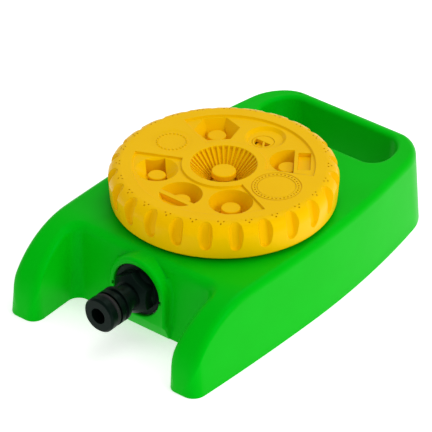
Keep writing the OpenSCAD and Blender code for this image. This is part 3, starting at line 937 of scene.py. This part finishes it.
# %% [markdown]
# ## The small yellow pieces
# The posts stand on a plate under the dial, and the water leaves round them. Each post is a
# cylinder whose top edge is bevelled. The half circle and the quarter circle have their posts cut
# off straight behind their bars.

# %% Nozzle plate with its posts
plate_low, plate_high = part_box("nozzle_plate")
post_r = 4.4 * MM
post_top = plate_high.z
plate_top = plate_low.z + 2 * MM


def softened(obj, offset, segments=3):
    """Bevels the rim of an upright piece's top face."""
    top = max(v.co.z for v in obj.data.vertices)
    pick(obj, "EDGE", lambda e: min(v.z for v in ends(obj, e)) > top - 0.1 * same)
    bpy.ops.mesh.bevel(offset=offset, segments=segments, affect="EDGES")
    done()
    return obj


def post(k, radius=post_r, out=0.0, top=post_top):
    made = upright("post", at_place(k, out), plate_top - 0.5 * MM, top, radius, sides=48)
    return softened(made, 0.5 * MM)


mist_post_top = post_top - 0.6 * MM
beside = (-9 * MM, 9 * MM)
nozzles = upright("nozzle_posts", axis, plate_low.z, plate_top, plate_high.x, sides=96)
cut(nozzles, upright("bore", axis, plate_low.z - past, plate_top + past, 2 * MM, sides=48))
half_post = post(6)
cut(half_post, block_cutter(6, (2.3 * MM, 9 * MM), beside, plate_low.z, over_z))
quarter_post = post(1, out=-1.3 * MM)
cut(quarter_post, block_cutter(1, (1.2 * MM, 9 * MM), beside, plate_low.z, over_z, turn=askew))
mist_post = post(2, 3.4 * MM, mist_out, mist_post_top)
posts = [half_post, quarter_post, post(3), post(5, 4.1 * MM), post(7), mist_post]
combine(nozzles, join(posts, "posts"), "UNION")
smooth(nozzles, 40)
report(nozzles)
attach(nozzles, "dial")
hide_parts("nozzle_plate")

# %% [markdown]
# The button closes the middle of the fluted cone. Its stalk is narrower, so that the water can
# pass round it.

# %% Button
button_r = 5.6 * MM
button = upright("button_cap", axis, button_high.z - 2.6 * MM, button_high.z, button_r, sides=72)
softened(button, 0.55 * MM, 4)
stalk = upright("stalk", axis, button_low.z, button_high.z - past, button_r - 1.4 * MM, sides=48)
combine(button, stalk, "UNION")
smooth(button, 40)
report(button)
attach(button, "dial")
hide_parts("centre_button")

# %% [markdown]
# The shower disc is pressed into its seat, so only a fine gap shows round it. The swirl insert of
# the mist is a round plug with a half-moon window and a slanted bar across it, which sets the
# water spinning.

# %% Disc and swirl insert
disc_gap = 0.12 * MM
disc = upright("shower_cap", disc_centre, top_z - 1.55 * MM, top_z - 0.03 * MM, disc_r - disc_gap, sides=96)
softened(disc, 0.2 * MM, 2)
smooth(disc, 40)
report(disc)
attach(disc, "dial")
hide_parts("shower_disc")

swirl_top = field_z - 1.5 * MM
well_centre = at_place(2, mist_out)
swirl = upright("swirl_plug", well_centre, mist_post_top, swirl_top, mist_r - 0.15 * MM, sides=64)
softened(swirl, 0.3 * MM)
window = upright("window", well_centre, post_top - 2 * MM, over_z + past, mist_r - 1.1 * MM, sides=48)
cut(window, block_cutter(2, (mist_out + 0.3 * MM, 9 * MM), beside, post_top - 4 * MM, over_z + 2 * past))
cut(swirl, window)
vane = block_cutter(
    2,
    (mist_out - 4.4 * MM, mist_out + 0.8 * MM),
    (-0.5 * MM, 0.5 * MM),
    post_top - 0.5 * MM,
    swirl_top - same,
)
turn_about(vane, math.radians(35), at_place(2, mist_out + 0.6 * MM))
combine(swirl, vane, "UNION")
smooth(swirl, 40)
report(swirl)
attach(swirl, "dial")
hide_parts("swirl_insert")

# %% [markdown]
# ## Finishes
# Everything here is moulded plastic, rubber or steel. Node graphs for such finishes are mostly
# sums and products of noises, so a socket is wrapped in a small class that adds Math nodes when
# it is used in a Python expression.

# %% Shader expressions
class Wire:
    """A shader socket that can stand in a sum, a difference or a product."""

    def __init__(self, finish, socket):
        self.finish = finish
        self.socket = socket

    def maths(self, operation, first, second):
        return self.finish.node("ShaderNodeMath", {"operation": operation}, {0: first, 1: second})

    def __add__(self, other):
        return self.maths("ADD", self, other)

    def __sub__(self, other):
        return self.maths("SUBTRACT", self, other)

    def __rsub__(self, other):
        return self.maths("SUBTRACT", other, self)

    def __mul__(self, other):
        return self.maths("MULTIPLY", self, other)

    __radd__ = __add__
    __rmul__ = __mul__


print("sockets can be added, subtracted and multiplied")

# %% [markdown]
# A finish is one material with its node tree. One method adds any other node from its type, its
# settings and its inputs, and a few short ones are made from it: noise of a given size, a ramp
# between two levels, a blend of two colours, and a bump.

# %% One finish
class Finish:
    """One material: its node tree and its Principled shader."""

    def __init__(self, name):
        self.material = bpy.data.materials.new(name)
        self.material.use_nodes = True
        self.tree = self.material.node_tree
        self.shader = self.tree.nodes["Principled BSDF"]

    def feed(self, socket, value):
        if isinstance(value, Wire):
            self.tree.links.new(value.socket, socket)
        else:
            socket.default_value = value

    def node(self, kind, settings=None, inputs=None, output=0):
        made = self.tree.nodes.new(kind)
        for name, value in (settings or {}).items():
            if name == "stops":
                for element, (position, level) in zip(made.color_ramp.elements, value):
                    element.position = position
                    element.color = (level, level, level, 1)
            else:
                setattr(made, name, value)
        for name, value in (inputs or {}).items():
            self.feed(made.inputs[name], value)
        return Wire(self, made.outputs[output])

    def shade(self, **values):
        """Sets or links sockets of the Principled shader; an underscore stands for a space."""
        for name, value in values.items():
            self.feed(self.shader.inputs[name.replace("_", " ")], value)

    def relief(self, height, strength, **more):
        """Bumps the surface by a height in metres."""
        inputs = {"Height": height, "Strength": strength, "Distance": 1.0, **more}
        self.shade(Normal=self.node("ShaderNodeBump", {}, inputs))

    def noise(self, size, detail=2.0, roughness=0.5, seed=0.0):
        """Noise from 0 to 1 on the object's own coordinates, with features of this size."""
        place = self.node("ShaderNodeTexCoord", output="Object")
        return self.node(
            "ShaderNodeTexNoise",
            {"noise_dimensions": "4D"},
            {"Vector": place, "W": seed, "Scale": 1 / size, "Detail": detail, "Roughness": roughness},
            output="Fac",
        )

    def window(self, value, low, high):
        """0 below one level, 1 above another, and a ramp between them."""
        return self.node("ShaderNodeValToRGB", {"stops": ((low, 0.0), (high, 1.0))}, {"Fac": value})

    def blend(self, factor, first, second):
        return self.node(
            "ShaderNodeMix", {"data_type": "RGBA"}, {"Factor": factor, 6: first, 7: second}, output=2
        )


print("a finish has", [name for name in vars(Finish) if not name.startswith("_")])

# %% [markdown]
# The three mouldings share one recipe. The colour drifts a little over the piece, as pigment
# does, and turns paler along the edges, which a Bevel node finds by comparing a softened normal
# with the true one. Broad noise makes the gloss uneven, fine noise gives the skin of the mould,
# and stretched noise adds faint rubbing marks. The softened normal also rounds the last sharp
# edges.

# %% Moulded plastic
def moulded(name, colour, deep, pale, gloss, specular, tint, soft_edge, grain=0.35):
    finish = Finish(name)
    drift = finish.noise(28 * MM, 3.0, 0.55, 1.0)
    cloud = finish.noise(7 * MM, 3.0, 0.6, 2.0)
    skin_grain = finish.noise(0.55 * MM, 2.0, 0.5, 3.0)
    ripple = finish.noise(11 * MM, 1.0, 0.4, 4.0)
    place = finish.node("ShaderNodeTexCoord", output="Object")
    streak_place = finish.node(
        "ShaderNodeMapping", {}, {"Vector": place, "Rotation": (0.2, 0.5, 0.7), "Scale": (1.0, 14.0, 5.0)}
    )
    streaks = finish.node(
        "ShaderNodeTexNoise", {}, {"Vector": streak_place, "Scale": 130.0, "Detail": 4.0, "Roughness": 0.7}
    )
    rubbed = finish.window(streaks, 0.62, 0.74) * finish.window(cloud, 0.45, 0.65)

    rounded = finish.node("ShaderNodeBevel", {"samples": 6}, {"Radius": soft_edge})
    true_normal = finish.node("ShaderNodeNewGeometry", output="Normal")
    agreement = finish.node(
        "ShaderNodeVectorMath", {"operation": "DOT_PRODUCT"}, {0: rounded, 1: true_normal}, output=1
    )
    edge = finish.window(1.0 - agreement, 0.02, 0.25)

    body = finish.blend(finish.window(drift, 0.3, 0.7), colour, deep)
    worn = finish.blend(edge * finish.window(cloud, 0.35, 0.7) * 0.45, body, pale)
    finish.shade(
        Base_Color=finish.blend(rubbed * 0.12, worn, pale),
        Roughness=gloss + drift * 0.06 + cloud * 0.06 + rubbed * 0.18,
        Specular_IOR_Level=specular,
        Specular_Tint=tint,
        IOR=1.25,
    )
    height = skin_grain * (0.03 * MM * grain) + ripple * (0.10 * MM * grain) - rubbed * (0.01 * MM)
    finish.relief(height, 0.6, Normal=rounded)
    return finish


print("the recipe softens normals, wears edges and grains the skin")


# %% [markdown]
# Each plastic is given its main colour, a deeper one and a paler one, its roughness, the level
# and the tint of its reflection, and how far its edges are softened.

# %% The four plastics
green = moulded(
    "green_pp",
    (0.0, 0.54, 0.004, 1), (0.0, 0.50, 0.002, 1), (0.0, 0.70, 0.10, 1),
    0.32, 0.3, (0.0, 1.0, 0.45, 1), 0.5 * MM,
)
yellow = moulded(
    "yellow_abs",
    (0.96, 0.56, 0.0, 1), (0.92, 0.52, 0.0, 1), (1.0, 0.70, 0.01, 1),
    0.24, 0.4, (1.0, 0.72, 0.02, 1), 0.45 * MM,
)
black = moulded(
    "black_abs",
    (0.001, 0.004, 0.003, 1), (0.002, 0.006, 0.004, 1), (0.015, 0.03, 0.022, 1),
    0.28, 0.28, (0.55, 1.0, 0.8, 1), 0.25 * MM, 0.6,
)
white = moulded(
    "white_pom",
    (0.72, 0.72, 0.69, 1), (0.66, 0.66, 0.62, 1), (0.85, 0.85, 0.83, 1),
    0.32, 0.4, (1, 1, 1, 1), 0.2 * MM,
)
print("plastics", [f.material.name for f in (green, yellow, black, white)])

# %% [markdown]
# Rubber is matt and dusty, with a grain twice as strong. Steel is a metal whose roughness and
# colour change with fine turning marks. Both only show in gaps and from underneath, but a lens
# may go there.

# %% Rubber and steel
rubber = Finish("rubber_seal")
dust = rubber.window(rubber.noise(4 * MM, 4.0, 0.65, 5.0), 0.42, 0.75)
pits = rubber.noise(0.35 * MM, 2.0, 0.6, 6.0)
rubber.shade(
    Base_Color=rubber.blend(dust * 0.35, (0.004, 0.005, 0.005, 1), (0.018, 0.020, 0.019, 1)),
    Roughness=0.62 + dust * 0.15,
    Specular_IOR_Level=0.35,
)
rubber.relief(pits * (0.05 * MM), 0.7)

steel = Finish("bright_steel")
tarnish = steel.window(steel.noise(3 * MM, 4.0, 0.6, 7.0), 0.35, 0.7)
fine_marks = steel.noise(0.2 * MM, 3.0, 0.7, 8.0)
steel.shade(
    Base_Color=steel.blend(tarnish * 0.5, (0.62, 0.62, 0.63, 1), (0.44, 0.42, 0.40, 1)),
    Roughness=0.22 + tarnish * 0.16 + fine_marks * 0.08,
    Metallic=1.0,
)
steel.relief(fine_marks * (0.01 * MM), 0.5)
print("and", rubber.material.name, steel.material.name)

# %% [markdown]
# The new pieces have no material yet, so they get one. A node that carries over keeps its mesh as
# it is, and only the material in its slot is set.

# %% Give every piece its finish
slot_finish = {
    "green_plastic": green,
    "yellow_plastic": yellow,
    "black_plastic": black,
    "white_plastic": white,
    "rubber": rubber,
    "steel": steel,
}


def dress(obj, finish):
    obj.data.materials.clear()
    obj.data.materials.append(finish.material)


node_slots = {
    "manifold": "black_plastic",
    "hose_nose": "black_plastic",
    "port_plate": "yellow_plastic",
    "seal_carrier": "white_plastic",
    "click_plunger": "white_plastic",
    "pivot_bush": "white_plastic",
    "nose_o_ring": "rubber",
    "inlet_washer": "rubber",
    "valve_seal": "rubber",
    "chamber_gasket": "rubber",
    "manifold_screws": "steel",
    "seal_spring": "steel",
    "click_spring": "steel",
    "dial_screws": "steel",
    "pivot_screw": "steel",
    "pivot_washer": "steel",
}
yellow_pieces = (dial, nozzles, button, disc, swirl)
dress(base, green)
for piece in yellow_pieces:
    dress(piece, yellow)
for name, slot in node_slots.items():
    for part in bpy.data.objects[name].material_slots:
        part.material = slot_finish[slot].material
print("dressed", 1 + len(yellow_pieces) + len(node_slots), "pieces")

# %% [markdown]
# ## Studio
# The object stands on a large white table in an even white room. A large soft light stands to its
# right, which makes the right side the brightest, and a second one hangs over it.

# %% Floor, room and lights
clear_selection()
bpy.ops.mesh.primitive_plane_add(size=6, location=(0, 0, 0))
table = bpy.context.object
table.name = "table"
paper = Finish("white_paper")
fibre = paper.noise(1.5 * MM, 4.0, 0.6, 9.0)
paper.shade(
    Base_Color=paper.blend(fibre * 0.3, (0.90, 0.90, 0.90, 1), (0.86, 0.86, 0.86, 1)),
    Roughness=0.85,
    Specular_IOR_Level=0.1,
    Emission_Color=(1, 1, 1, 1),
    Emission_Strength=0.52,
)
dress(table, paper)

room = bpy.data.worlds.new("white_room")
bpy.context.scene.world = room
room.use_nodes = True
background = room.node_tree.nodes["Background"]
background.inputs["Color"].default_value = (1, 1, 1, 1)
background.inputs["Strength"].default_value = 0.54
light_target = Vector((0, 0, 0.03))


def soft_light(name, place, size, power):
    light = bpy.data.lights.new(name, "AREA")
    light.shape = "DISK"
    light.size = size
    light.energy = power
    lamp = bpy.data.objects.new(name, light)
    bpy.context.scene.collection.objects.link(lamp)
    lamp.location = place
    lamp.rotation_euler = (light_target - Vector(place)).to_track_quat("-Z", "Y").to_euler()
    return lamp


soft_light("key", (1.25, 0.05, 0.75), 0.8, 6.0)
soft_light("top", (0.1, 0.45, 1.35), 0.9, 5.2)

# %% [markdown]
# The camera looks down on the front right corner, from far away with a long lens, as a catalogue
# picture does.

# %% Camera
turn_right = math.radians(39.37)
look_down = math.radians(33.55)
tilt = math.radians(-0.29)
distance = 1.602
focal = 294.9
aside = 3.52 * MM
below = 17.42 * MM
flat = math.cos(look_down)
back = Vector((math.sin(turn_right) * flat, -math.cos(turn_right) * flat, math.sin(look_down)))
level = Vector((math.cos(turn_right), math.sin(turn_right), 0))
across = level * math.cos(tilt) + back.cross(level) * math.sin(tilt)
up = back.cross(across)
aim = Vector((0, axis_y, 0.05)) - across * aside - up * below
lens = bpy.data.cameras.new("camera")
lens.lens = focal
lens.clip_start = 0.1
lens.clip_end = 20
camera = bpy.data.objects.new("camera", lens)
bpy.context.scene.collection.objects.link(camera)
turned = Matrix((across, up, back)).transposed().to_4x4()
camera.matrix_world = Matrix.Translation(aim + back * distance) @ turned
bpy.context.scene.camera = camera
bpy.context.scene.view_settings.view_transform = "Standard"
print("camera at", [round(v, 3) for v in camera.matrix_world.translation])
